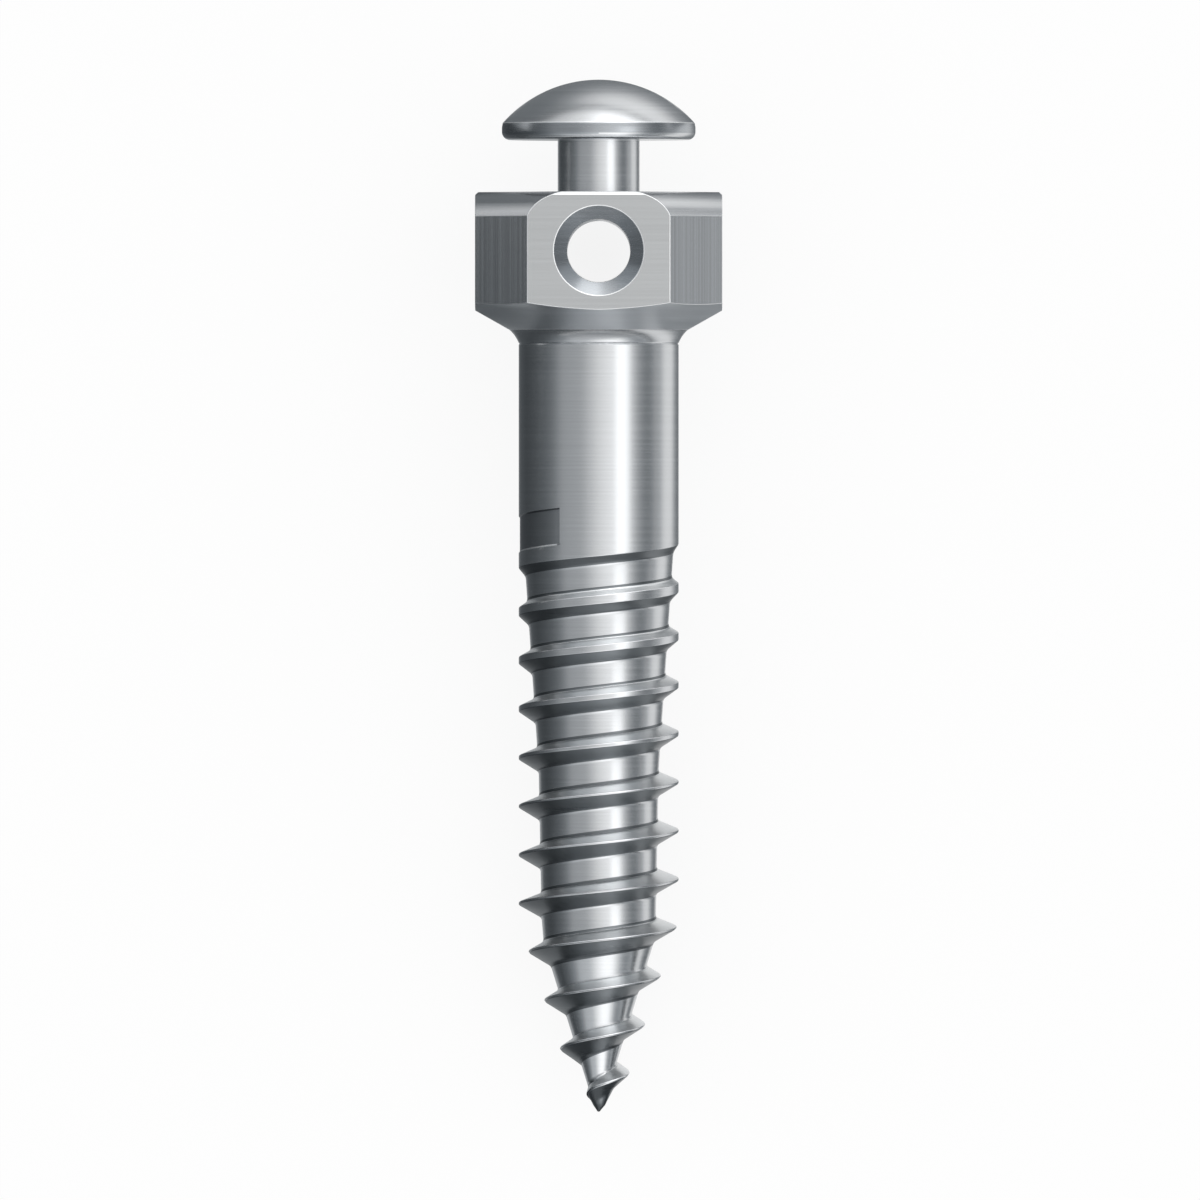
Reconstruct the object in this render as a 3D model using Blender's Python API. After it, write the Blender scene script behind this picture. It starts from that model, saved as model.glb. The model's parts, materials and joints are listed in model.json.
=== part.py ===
"""Orthodontic mini screw: one piece, turned, milled and threaded from titanium bar.

The screw is modelled upright in its own frame, in metres: the axis is Z, the head is up,
the ligature hole runs along Y, and Z = 0 is the seat where the cone under the head ends.
It is then laid down as it comes to rest, on the flat behind the hole and on its thread.
"""

import math

import bmesh
import bpy
from mathutils import Matrix, Vector

MM = 0.001

# Button on top, which keeps a ligature or an elastic from slipping off
BUTTON_DIAMETER = 1.936 * MM
BUTTON_DOME_RADIUS = 1.28 * MM
BUTTON_RIM_HEIGHT = 0.17 * MM
BUTTON_RIM_BULGE = 0.008 * MM
BUTTON_RIM_ROUND = 0.08 * MM

# Neck between the button and the driver head
NECK_DIAMETER = 0.82 * MM
NECK_LENGTH = 0.525 * MM

# Driver head: a square with milled corner flats
HEAD_WIDTH = 2.47 * MM
HEAD_CORNER_WIDTH = 2.755 * MM
HEAD_HEIGHT = 1.18 * MM
HEAD_EDGE_CHAMFER = 0.03 * MM
CORNER_ROUND_RADIUS = 0.34 * MM
CORNER_ROUND_DROP = 0.24 * MM
CORNER_ROUND_OVERSHOOT = 0.0051 * MM

# Ligature hole through the head, countersunk at both ends
HOLE_DIAMETER = 0.63 * MM
COUNTERSINK_DIAMETER = 0.90 * MM
COUNTERSINK_DEPTH = 0.11 * MM
HOLE_BELOW_HEAD_TOP = 0.59 * MM

# Underside of the head: two turned cones, then a concave collar
CORNER_CONE_SLOPE = 0.33
SEAT_CONE_HEIGHT = 0.195 * MM
SEAT_DIAMETER = 1.80 * MM
COLLAR_HEIGHT = 0.12 * MM
COLLAR_RADIUS = 0.20 * MM

# Shank and thread
SHANK_DIAMETER = 1.60 * MM
SCREW_LENGTH = 7.835 * MM
THREAD_START = 2.211 * MM
THREAD_PITCH = 0.486 * MM
GROOVE_FLOOR_WIDTH = 0.255 * MM
FIRST_LAND_WIDTH = 0.10 * MM
FULL_LAND_WIDTH = 0.022 * MM
LAND_NARROWING_LENGTH = 2.39 * MM
LOWER_FLANK_SHARE = 0.6
ROOT_FILLET = 0.025 * MM

# Core of the thread: three straight tapers, the last one down to the tip
CORE_START_DIAMETER = 1.495 * MM
CORE_MIDDLE_DIAMETER = 1.20 * MM
CORE_FULL_DIAMETER = 1.136 * MM
CORE_TAPER_LENGTH = 2.19 * MM
CORE_TIP_TAPER_LENGTH = 1.765 * MM
CORE_TIP_DIAMETER = 0.24 * MM
CORE_TIP_HEIGHT = 0.315 * MM

# Crest of the thread: full diameter, then a straight taper that runs out on the point
CREST_TAPER_LENGTH = 1.935 * MM
CREST_TIP_DIAMETER = 0.59 * MM
CREST_TIP_HEIGHT = 0.375 * MM
RUN_OUT_HEIGHT = 0.157 * MM

# Cutting point
POINT_SLOPE = 0.60
POINT_ROUND_DIAMETER = 0.036 * MM
POINT_COLLAR_HEIGHT = 0.085 * MM

# The first groove rises from full depth to nothing between these turns above the thread's start
GROOVE_FADE_END = -0.65
GROOVE_FULL_DEPTH = -0.30

# The last groove fills up over this share of a turn past the run-out
GROOVE_CLOSING_TURN = 0.4

# Shallow slanted pocket in the shank, beside the start of the thread
POCKET_WALL_ANGLE = math.radians(29.2)
POCKET_END_ANGLE = math.radians(112.0)
POCKET_WALL_DEPTH = 0.045 * MM
POCKET_HEIGHT = 0.372 * MM
POCKET_ABOVE_THREAD = 0.05 * MM

# Fineness of the mesh, and the smallest distance between points that are kept apart
AROUND = 48
FORM_POINTS = 6
HOLE_AROUND = 40
ARC_STEPS = 6
MERGE_DISTANCE = 0.001 * MM
CUTTER_MARGIN = 0.20 * MM

# The turned blank reaches this far past the head's corners, which the milling then cuts to size
BLANK_MARGIN = 0.07 * MM

# The plain shank ends this share of a pitch above the start of the thread
SHANK_END_TURNS = 0.9

HALF_HEAD = HEAD_WIDTH / 2
HALF_CORNER = HEAD_CORNER_WIDTH / 2
FLAT_HALF_WIDTH = HALF_CORNER * math.sqrt(2) - HALF_HEAD
CORNER_REACH = math.hypot(HALF_HEAD, FLAT_HALF_WIDTH)
BLANK_RADIUS = CORNER_REACH + BLANK_MARGIN
CORE_MIDDLE_Z = -THREAD_START - CORE_TAPER_LENGTH
SKIRT_Z = SEAT_CONE_HEIGHT
HEAD_TOP_Z = SKIRT_Z + HEAD_HEIGHT
BUTTON_UNDER_Z = HEAD_TOP_Z + NECK_LENGTH
DOME_EDGE_Z = BUTTON_UNDER_Z + BUTTON_RIM_HEIGHT
DOME_EDGE_RADIUS = BUTTON_DIAMETER / 2 - BUTTON_RIM_BULGE
DOME_RISE = BUTTON_DOME_RADIUS - math.sqrt(BUTTON_DOME_RADIUS**2 - DOME_EDGE_RADIUS**2)
APEX_Z = DOME_EDGE_Z + DOME_RISE
SHANK_RADIUS = SHANK_DIAMETER / 2
SHANK_TOP_Z = -COLLAR_HEIGHT
TIP_Z = -SCREW_LENGTH
THREAD_TOP_Z = -THREAD_START + SHANK_END_TURNS * THREAD_PITCH


def clear_scene():
    """Remove every object of the open scene."""
    for item in list(bpy.data.objects):
        bpy.data.objects.remove(item, do_unlink=True)


def smooth_step(value):
    """Ease from 0 to 1 as the value goes from 0 to 1."""
    share = min(max(value, 0.0), 1.0)
    return share * share * (3 - 2 * share)


def between(z, upper, lower):
    """Radius at height z on the straight taper through two (z, radius) stations."""
    share = (upper[0] - z) / (upper[0] - lower[0])
    return upper[1] + share * (lower[1] - upper[1])


def arc(start, end, radius, steps, bulge=1):
    """Points from start to end on an arc of this radius; bulge -1 bends it the other way."""
    start = Vector(start)
    end = Vector(end)
    chord = end - start
    rise = math.sqrt(radius**2 - (chord.length / 2) ** 2)
    across = Vector((-chord.y, chord.x)).normalized()
    centre = (start + end) / 2 + bulge * rise * across
    first = start - centre
    turn = first.angle_signed(end - centre)
    points = []
    for step in range(steps + 1):
        points.append(centre + Matrix.Rotation(-turn * step / steps, 2) @ first)
    return points


def point_radius(z):
    """Radius of the cutting point's cone at height z."""
    return max(POINT_SLOPE * (z - TIP_Z), POINT_ROUND_DIAMETER / 2)


def core_radius(z):
    """Radius of the groove floor at height z."""
    start = (-THREAD_START, CORE_START_DIAMETER / 2)
    middle = (CORE_MIDDLE_Z, CORE_MIDDLE_DIAMETER / 2)
    full = (TIP_Z + CORE_TIP_TAPER_LENGTH, CORE_FULL_DIAMETER / 2)
    tip = (TIP_Z + CORE_TIP_HEIGHT, CORE_TIP_DIAMETER / 2)
    if z > start[0]:
        return start[1]
    if z > middle[0]:
        return between(z, start, middle)
    if z > full[0]:
        return between(z, middle, full)
    return max(between(z, full, tip), POINT_ROUND_DIAMETER / 2)


def crest_radius(z):
    """Radius of the thread's crest at height z."""
    full = (TIP_Z + CREST_TAPER_LENGTH, SHANK_RADIUS)
    tip = (TIP_Z + CREST_TIP_HEIGHT, CREST_TIP_DIAMETER / 2)
    run_out_z = TIP_Z + RUN_OUT_HEIGHT
    if z > full[0]:
        return SHANK_RADIUS
    if z > tip[0]:
        return between(z, full, tip)
    if z > run_out_z:
        return between(z, tip, (run_out_z, point_radius(run_out_z)))
    return point_radius(z)


def land_width(z):
    """Width of the crest's flat top at height z: it narrows as the groove gets deeper."""
    share = (-THREAD_START - z) / LAND_NARROWING_LENGTH
    narrowing = min(max(share, 0.0), 1.0) * (FIRST_LAND_WIDTH - FULL_LAND_WIDTH)
    return FIRST_LAND_WIDTH - narrowing


def crest_height(turns):
    """Height of the crest after this many turns from the thread's start at the front."""
    return -THREAD_START - THREAD_PITCH * turns


def floor_radius(turns, z):
    """Radius of the floor of the groove under the crest at these turns."""
    run_out_turns = (SCREW_LENGTH - RUN_OUT_HEIGHT - THREAD_START) / THREAD_PITCH
    closing = smooth_step((turns + 1 - run_out_turns) / GROOVE_CLOSING_TURN)
    open_floor = core_radius(z) + closing * (point_radius(z) - core_radius(z))
    fade = (turns - GROOVE_FADE_END) / (GROOVE_FULL_DEPTH - GROOVE_FADE_END)
    depth = smooth_step(fade)
    return crest_radius(z) + depth * (open_floor - crest_radius(z))


def thread_form(turns, place):
    """Height and radius of one point of the thread form, counted down from the crest."""
    upper_z = crest_height(turns)
    lower_z = crest_height(turns + 1)
    upper_land = land_width(upper_z) / 2
    lower_land = land_width(lower_z) / 2
    flanks = THREAD_PITCH - GROOVE_FLOOR_WIDTH - upper_land - lower_land
    crest_edge = upper_z - upper_land
    floor_top = crest_edge - flanks * LOWER_FLANK_SHARE
    floor_end = floor_top - GROOVE_FLOOR_WIDTH
    next_edge = lower_z + lower_land
    if place == 0:
        return crest_edge, crest_radius(crest_edge)
    if place == 5:
        return next_edge, crest_radius(next_edge)
    if place == 2:
        return floor_top - ROOT_FILLET, floor_radius(turns, floor_top - ROOT_FILLET)
    if place == 3:
        return floor_end + ROOT_FILLET, floor_radius(turns, floor_end + ROOT_FILLET)
    if place == 1:
        share = ROOT_FILLET / (flanks * LOWER_FLANK_SHARE)
        root = floor_radius(turns, floor_top)
        return floor_top + ROOT_FILLET, root + share * (crest_radius(crest_edge) - root)
    share = ROOT_FILLET / (flanks * (1 - LOWER_FLANK_SHARE))
    root = floor_radius(turns, floor_end)
    return floor_end - ROOT_FILLET, root + share * (crest_radius(next_edge) - root)


def add_chain(bm, points):
    """Add a chain of edges through points (radius, z) on the front side of the axis."""
    verts = [bm.verts.new((0, -radius, z)) for radius, z in points]
    edges = [bm.edges.new(pair) for pair in zip(verts, verts[1:])]
    return verts + edges


def spin_around(bm, geom):
    """Turn a profile once round the axis and close its seam."""
    bmesh.ops.spin(
        bm,
        geom=geom,
        cent=(0, 0, 0),
        axis=(0, 0, -1),
        angle=math.tau,
        steps=AROUND,
        use_merge=True,
    )


def thread_tube():
    """The threaded part of the shank, open at its top and at its lower end."""
    bm = bmesh.new()
    first_turn = -3
    turns = math.ceil((SCREW_LENGTH - THREAD_START) / THREAD_PITCH) + 3
    step_down = THREAD_PITCH / FORM_POINTS
    top = crest_height(first_turn)
    chain = [(SHANK_RADIUS, top - step_down * step) for step in range(FORM_POINTS + 1)]
    bmesh.ops.spin(
        bm,
        geom=add_chain(bm, chain),
        cent=(0, 0, 0),
        axis=(0, 0, -1),
        dvec=(0, 0, -THREAD_PITCH / AROUND),
        angle=math.tau * turns,
        steps=AROUND * turns,
    )
    bmesh.ops.remove_doubles(bm, verts=bm.verts[:], dist=MERGE_DISTANCE)
    for vert in bm.verts:
        cut_thread_point(vert)
    whole = bm.verts[:] + bm.edges[:] + bm.faces[:]
    bmesh.ops.bisect_plane(
        bm, geom=whole, plane_co=(0, 0, THREAD_TOP_Z), plane_no=(0, 0, 1), clear_outer=True
    )
    whole = bm.verts[:] + bm.edges[:] + bm.faces[:]
    end = (0, 0, TIP_Z + POINT_COLLAR_HEIGHT)
    bmesh.ops.bisect_plane(bm, geom=whole, plane_co=end, plane_no=(0, 0, -1), clear_outer=True)
    return bm


def cut_thread_point(vert):
    """Move one point of the plain helical tube to its place on the thread form."""
    angle = math.atan2(-vert.co.x, -vert.co.y) % math.tau
    share = round(angle / math.tau * AROUND) % AROUND / AROUND
    place_down = (-THREAD_START - vert.co.z) / THREAD_PITCH - share
    number = round(place_down * FORM_POINTS)
    turns = number // FORM_POINTS + share
    z, radius = thread_form(turns, number % FORM_POINTS)
    vert.co = Matrix.Rotation(-share * math.tau, 3, "Z") @ Vector((0, -radius, z))


def ring_at(bm, z):
    """The open edges that lie at height z."""
    return [
        edge
        for edge in bm.edges
        if edge.is_boundary and all(abs(vert.co.z - z) < MERGE_DISTANCE for vert in edge.verts)
    ]


def close_point(bm):
    """Draw the open lower ring in to the blunt end of the cutting point."""
    ring = ring_at(bm, TIP_Z + POINT_COLLAR_HEIGHT)
    made = bmesh.ops.extrude_edge_only(bm, edges=ring)["geom"]
    verts = [item for item in made if isinstance(item, bmesh.types.BMVert)]
    shoulder = TIP_Z + POINT_ROUND_DIAMETER / 2 / POINT_SLOPE
    for vert in verts:
        flat = Vector((vert.co.x, vert.co.y, 0)).normalized() * POINT_ROUND_DIAMETER / 2
        vert.co = flat + Vector((0, 0, shoulder))
    made = bmesh.ops.extrude_edge_only(bm, edges=ring_at(bm, shoulder))["geom"]
    verts = [item for item in made if isinstance(item, bmesh.types.BMVert)]
    end = Vector((0, 0, shoulder - POINT_ROUND_DIAMETER / 3))
    bmesh.ops.pointmerge(bm, verts=verts, merge_co=end)


def turned_profile():
    """Outline (radius, z) of the turned blank, from the top of the button to the shank."""
    neck = NECK_DIAMETER / 2
    rim = BUTTON_DIAMETER / 2
    skirt_angle_z = SKIRT_Z + (BLANK_RADIUS - HALF_HEAD) * CORNER_CONE_SLOPE
    round_top = BUTTON_UNDER_Z + BUTTON_RIM_ROUND
    round_end = (rim - BUTTON_RIM_ROUND, BUTTON_UNDER_Z)
    profile = arc((0, APEX_Z), (DOME_EDGE_RADIUS, DOME_EDGE_Z), BUTTON_DOME_RADIUS, 8, -1)
    profile.append(Vector((rim, (DOME_EDGE_Z + round_top) / 2)))
    profile += arc((rim, round_top), round_end, BUTTON_RIM_ROUND, 4, -1)
    profile.append(Vector((neck, BUTTON_UNDER_Z)))
    profile.append(Vector((neck, HEAD_TOP_Z)))
    profile.append(Vector((BLANK_RADIUS, HEAD_TOP_Z)))
    profile.append(Vector((BLANK_RADIUS, skirt_angle_z)))
    profile.append(Vector((HALF_HEAD, SKIRT_Z)))
    profile += arc((SEAT_DIAMETER / 2, 0), (SHANK_RADIUS, SHANK_TOP_Z), COLLAR_RADIUS, 4, 1)
    profile.append(Vector((SHANK_RADIUS, THREAD_TOP_Z + THREAD_PITCH / 4)))
    return profile


def blank_mesh():
    """The whole screw as turned and threaded, before its head is milled."""
    bm = thread_tube()
    close_point(bm)
    spin_around(bm, add_chain(bm, turned_profile()))
    bmesh.ops.remove_doubles(bm, verts=bm.verts[:], dist=MERGE_DISTANCE / 10)
    rings = ring_at(bm, THREAD_TOP_Z) + ring_at(bm, THREAD_TOP_Z + THREAD_PITCH / 4)
    bmesh.ops.bridge_loops(bm, edges=rings)
    bmesh.ops.recalc_face_normals(bm, faces=bm.faces[:])
    return bm


def object_from(bm, name):
    """Turn a bmesh into a named object of the scene."""
    mesh = bpy.data.meshes.new(name)
    bm.to_mesh(mesh)
    bm.free()
    item = bpy.data.objects.new(name, mesh)
    bpy.context.scene.collection.objects.link(item)
    return item


def prism(name, outline, half_length, angle):
    """A cutter: an outline in the XZ plane, drawn out along Y and turned about the axis."""
    bm = bmesh.new()
    verts = [bm.verts.new((x, -half_length, z)) for x, z in outline]
    face = bm.faces.new(verts)
    made = bmesh.ops.extrude_face_region(bm, geom=[face])["geom"]
    moved = [item for item in made if isinstance(item, bmesh.types.BMVert)]
    bmesh.ops.translate(bm, verts=moved, vec=(0, 2 * half_length, 0))
    bmesh.ops.rotate(bm, verts=bm.verts[:], matrix=Matrix.Rotation(angle, 3, "Z"))
    bmesh.ops.recalc_face_normals(bm, faces=bm.faces[:])
    return as_cutter(object_from(bm, name))


def as_cutter(item):
    """Keep a cutter out of the finished screw."""
    item.hide_render = True
    item.display_type = "WIRE"
    return item


def milling_envelope(name, side, angle):
    """What milling leaves: the space between two opposite flats, open round the button.

    The side is the right half of the outline over the height of the head, from below up.
    """
    reach = 2 * CORNER_REACH
    lift = HEAD_TOP_Z + NECK_LENGTH / 2
    right = [(side[0][0], TIP_Z - CUTTER_MARGIN)] + side
    right += [(side[-1][0], lift), (reach, lift), (reach, APEX_Z + CUTTER_MARGIN)]
    left = [(-x, z) for x, z in reversed(right)]
    return prism(name, right + left, reach, angle)


def flat_side():
    """Outline of a flat of the square, with the small chamfer at its top."""
    over = HEAD_EDGE_CHAMFER / 2
    foot = HEAD_TOP_Z - HEAD_EDGE_CHAMFER
    return [(HALF_HEAD, foot), (HALF_HEAD - HEAD_EDGE_CHAMFER - over, HEAD_TOP_Z + over)]


def corner_side():
    """Outline of a corner flat, with the round that blends it into the top of the head."""
    centre_z = HEAD_TOP_Z + CORNER_ROUND_OVERSHOOT - CORNER_ROUND_RADIUS
    edge_z = HEAD_TOP_Z - CORNER_ROUND_DROP
    start = math.asin((edge_z - centre_z) / CORNER_ROUND_RADIUS)
    centre_x = HALF_CORNER - CORNER_ROUND_RADIUS * math.cos(start)
    outline = []
    for step in range(ARC_STEPS + 1):
        angle = start + (math.pi / 2 - start) * step / ARC_STEPS
        x = centre_x + CORNER_ROUND_RADIUS * math.cos(angle)
        outline.append((x, centre_z + CORNER_ROUND_RADIUS * math.sin(angle)))
    return outline


def hole_cutter():
    """The ligature hole with a countersink at each end, along Y."""
    bore = HOLE_DIAMETER / 2
    wide = COUNTERSINK_DIAMETER / 2
    slope = (wide - bore) / COUNTERSINK_DEPTH
    inner = HALF_HEAD - COUNTERSINK_DEPTH
    outer = HALF_HEAD + CUTTER_MARGIN
    far = wide + slope * CUTTER_MARGIN
    profile = [(0, outer), (far, outer), (bore, inner), (bore, -inner), (far, -outer), (0, -outer)]
    bm = bmesh.new()
    verts = [bm.verts.new((x, y, 0)) for x, y in profile]
    edges = [bm.edges.new(pair) for pair in zip(verts, verts[1:])]
    bmesh.ops.spin(
        bm,
        geom=verts + edges,
        cent=(0, 0, 0),
        axis=(0, 1, 0),
        angle=math.tau,
        steps=HOLE_AROUND,
        use_merge=True,
    )
    bmesh.ops.remove_doubles(bm, verts=bm.verts[:], dist=MERGE_DISTANCE / 10)
    bmesh.ops.translate(bm, verts=bm.verts[:], vec=(0, 0, HEAD_TOP_Z - HOLE_BELOW_HEAD_TOP))
    bmesh.ops.recalc_face_normals(bm, faces=bm.faces[:])
    return as_cutter(object_from(bm, "hole_cutter"))


def pocket_cutter():
    """The shallow pocket: it is deepest at its end wall and runs out round the back."""
    steps = 14
    span = POCKET_END_ANGLE - POCKET_WALL_ANGLE
    land_top = crest_height(POCKET_WALL_ANGLE / math.tau) + FIRST_LAND_WIDTH / 2
    foot = land_top + POCKET_ABOVE_THREAD
    outer = SHANK_RADIUS + CUTTER_MARGIN
    inner = SHANK_RADIUS - POCKET_WALL_DEPTH
    bm = bmesh.new()
    corners = [(inner, 0), (outer, 0), (outer, POCKET_HEIGHT), (inner, POCKET_HEIGHT)]
    start = Matrix.Rotation(-POCKET_WALL_ANGLE, 3, "Z")
    verts = [bm.verts.new(start @ Vector((0, -radius, foot + z))) for radius, z in corners]
    face = bm.faces.new(verts)
    bmesh.ops.spin(
        bm,
        geom=[face],
        cent=(0, 0, 0),
        axis=(0, 0, -1),
        dvec=(0, 0, -THREAD_PITCH * span / math.tau / steps),
        angle=span,
        steps=steps,
    )
    for vert in bm.verts:
        if vert.co.xy.length < SHANK_RADIUS:
            angle = math.atan2(-vert.co.x, -vert.co.y) % math.tau
            share = (angle - POCKET_WALL_ANGLE) / span
            radius = inner + share * (POCKET_WALL_DEPTH + MERGE_DISTANCE)
            vert.co.xy = vert.co.xy.normalized() * radius
    bmesh.ops.recalc_face_normals(bm, faces=bm.faces[:])
    return as_cutter(object_from(bm, "pocket_cutter"))


def cut(item, cutter, operation):
    """Mill or drill the screw with a cutter that moves with it."""
    cutter.parent = item
    modifier = item.modifiers.new(cutter.name, "BOOLEAN")
    modifier.operation = operation
    modifier.object = cutter
    modifier.solver = "EXACT"


def titanium():
    """Polished titanium alloy."""
    material = bpy.data.materials.new("polished_titanium")
    material.use_nodes = True
    shader = material.node_tree.nodes["Principled BSDF"]
    shader.inputs["Base Color"].default_value = (0.60, 0.61, 0.62, 1)
    shader.inputs["Metallic"].default_value = 1.0
    shader.inputs["Roughness"].default_value = 0.22
    return material


def lay_down(item):
    """Lay the screw on the flat behind the hole and on its thread, centred over the origin."""
    points = [vert.co for vert in item.data.vertices]
    slope = min(
        (HALF_HEAD - point.y) / (SKIRT_Z - point.z)
        for point in points
        if point.y > 0 and point.z < SHANK_TOP_Z
    )
    turn = Matrix.Rotation(math.atan(slope) - math.pi / 2, 4, "X")
    lengthwise = [(turn @ point).y for point in points]
    middle = (min(lengthwise) + max(lengthwise)) / 2
    floor = (turn @ Vector((0, HALF_HEAD, SKIRT_Z))).z
    item.matrix_world = Matrix.Translation((0, -middle, -floor)) @ turn


def build_mini_screw():
    """The finished screw."""
    screw = object_from(blank_mesh(), "mini_screw")
    screw.data.materials.append(titanium())
    cut(screw, milling_envelope("front_flats_cutter", flat_side(), math.pi / 2), "INTERSECT")
    cut(screw, milling_envelope("side_flats_cutter", flat_side(), 0), "INTERSECT")
    cut(screw, milling_envelope("left_corners_cutter", corner_side(), math.pi / 4), "INTERSECT")
    cut(screw, milling_envelope("right_corners_cutter", corner_side(), -math.pi / 4), "INTERSECT")
    cut(screw, hole_cutter(), "DIFFERENCE")
    cut(screw, pocket_cutter(), "DIFFERENCE")
    screw.data.shade_smooth()
    screw.data.set_sharp_from_angle(angle=math.radians(25))
    lay_down(screw)
    return screw


clear_scene()
build_mini_screw()
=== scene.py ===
"""Looks of the orthodontic mini screw: one finely turned, milled and threaded titanium piece.

The screw is modelled upright in its own frame, with the axis along Z, the head up and the
ligature hole along Y. Z = 0 is the seat where the cone under the head ends. Its points are
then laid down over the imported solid, which it stands for.
"""

import json
import logging
import math
from dataclasses import dataclass
from enum import Enum

import bmesh
import bpy
from bmesh.types import BMEdge, BMesh, BMFace, BMVert
from bpy.types import ID, Material, Node, NodeSocket, NodeTree, Object
from mathutils import Matrix, Vector


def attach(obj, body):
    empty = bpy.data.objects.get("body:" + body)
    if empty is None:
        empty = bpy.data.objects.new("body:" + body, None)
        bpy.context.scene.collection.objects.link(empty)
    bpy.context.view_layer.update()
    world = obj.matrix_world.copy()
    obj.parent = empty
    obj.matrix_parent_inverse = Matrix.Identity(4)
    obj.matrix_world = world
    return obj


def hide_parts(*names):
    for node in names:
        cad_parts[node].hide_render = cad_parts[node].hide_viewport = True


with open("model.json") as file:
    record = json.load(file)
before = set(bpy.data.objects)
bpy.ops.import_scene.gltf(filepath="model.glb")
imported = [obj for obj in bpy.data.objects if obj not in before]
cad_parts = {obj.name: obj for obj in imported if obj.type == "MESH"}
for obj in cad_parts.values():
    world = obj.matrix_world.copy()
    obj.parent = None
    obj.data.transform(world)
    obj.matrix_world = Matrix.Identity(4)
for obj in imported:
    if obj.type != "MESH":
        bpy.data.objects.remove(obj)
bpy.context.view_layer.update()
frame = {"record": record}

log = logging.getLogger("mini_screw")

MM = 0.001
WELD = 0.0001 * MM  # points nearer than this are one point
NEAR = 0.0005 * MM  # slack of a point that lies at a given height or radius
COPLANAR = math.radians(0.3)  # faces that turn less than this are one face
SHARP_EDGE = math.radians(12)  # edges that turn more than this are eased
SHARP_SHADE = math.radians(38)  # and more than this stay sharp in the shading
Pair = tuple[float, float]
Points = list[Pair]
Spot = tuple[float, float, float]


def linear(colour: str) -> tuple[float, float, float, float]:
    """Turn an sRGB hex colour into linear values.

    Args:
        colour: Six hex digits, such as "c0c2c4".

    Returns:
        Red, green, blue and an alpha of 1.
    """
    values = []
    for start in (0, 2, 4):
        share = int(colour[start : start + 2], 16) / 255
        low = share / 12.92
        high = ((share + 0.055) / 1.055) ** 2.4
        values.append(low if share <= 0.04045 else high)
    return values[0], values[1], values[2], 1.0


def add_node(
    tree: NodeTree,
    kind: str,
    settings: dict[str, object] | None = None,
    inputs: dict[str | int, object] | None = None,
) -> Node:
    """Add a shader node with its settings, values and links.

    Args:
        tree: The node tree that gets the node.
        kind: Blender's type name of the node.
        settings: Property names and values.
        inputs: Socket names or numbers with a plain value or the output socket to link.

    Returns:
        The new node.
    """
    node = tree.nodes.new(kind)
    for name, value in (settings or {}).items():
        setattr(node, name, value)
    for name, value in (inputs or {}).items():
        if isinstance(value, NodeSocket):
            tree.links.new(value, node.inputs[name])
        else:
            node.inputs[name].default_value = value
    return node


def clamped(value: float) -> float:
    """Keep a value between 0 and 1."""
    return min(max(value, 0.0), 1.0)


def smooth_step(value: float) -> float:
    """Ease from 0 to 1 as the value goes from 0 to 1."""
    share = clamped(value)
    return share * share * (3 - 2 * share)


def between(z: float, upper: Pair, lower: Pair) -> float:
    """Radius at height z on the straight taper through two (z, radius) stations."""
    share = (upper[0] - z) / (upper[0] - lower[0])
    return upper[1] + share * (lower[1] - upper[1])


def arc(start: Pair, end: Pair, radius: float, steps: int, bulge: int = 1) -> Points:
    """Points from start to end on an arc.

    Args:
        start: The first point.
        end: The last point.
        radius: The arc's radius.
        steps: How many chords the arc has.
        bulge: 1 or -1, the side that the arc's centre lies on.

    Returns:
        The points, both ends among them.
    """
    first_point = Vector(start)
    last_point = Vector(end)
    chord = last_point - first_point
    rise = math.sqrt(radius**2 - (chord.length / 2) ** 2)
    across = Vector((-chord.y, chord.x)).normalized()
    centre = (first_point + last_point) / 2 + bulge * rise * across
    spoke = first_point - centre
    turn = spoke.angle_signed(last_point - centre)
    points = []
    for step in range(steps + 1):
        place = centre + Matrix.Rotation(-turn * step / steps, 2) @ spoke
        points.append((place.x, place.y))
    return points


def add_object(name: str, data: ID) -> Object:
    """Make an object from its data and link it to the scene."""
    item = bpy.data.objects.new(name, data)
    bpy.context.scene.collection.objects.link(item)
    return item


def new_object(bm: BMesh, name: str) -> Object:
    """Turn a bmesh into a named object of the scene.

    Args:
        bm: The mesh, which is freed.
        name: The object's name.

    Returns:
        The object, at the origin.
    """
    mesh = bpy.data.meshes.new(name)
    bm.to_mesh(mesh)
    bm.free()
    return add_object(name, mesh)


def made_verts(made: list[BMVert | BMEdge | BMFace]) -> list[BMVert]:
    """The points among the geometry that an operator made."""
    return [item for item in made if isinstance(item, BMVert)]


def swept(points: list[Spot], axis: Spot, steps: int, **options: object) -> BMesh:
    """Sweep a line of points round an axis through the origin.

    Args:
        points: The line.
        axis: The axis.
        steps: How many faces the sweep has.
        **options: The sweep's angle and its other settings.

    Returns:
        The swept surface.
    """
    bm = bmesh.new()
    verts = [bm.verts.new(point) for point in points]
    edges = [bm.edges.new(pair) for pair in zip(verts, verts[1:])]
    bmesh.ops.spin(bm, geom=verts + edges, cent=(0, 0, 0), axis=axis, steps=steps, **options)
    return bm


def turned(points: list[Spot], axis: Spot, sides: int) -> BMesh:
    """The closed solid that a line of points makes, both ends on the axis, swept all round."""
    bm = swept(points, axis, sides, angle=math.tau, use_merge=True)
    bmesh.ops.remove_doubles(bm, verts=bm.verts[:], dist=WELD)
    bmesh.ops.recalc_face_normals(bm, faces=bm.faces[:])
    return bm


class Grain(Enum):
    """The way that fine tool marks run on the titanium."""

    ROUND_THE_AXIS = "round"
    ALONG_THE_AXIS = "along"


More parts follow.
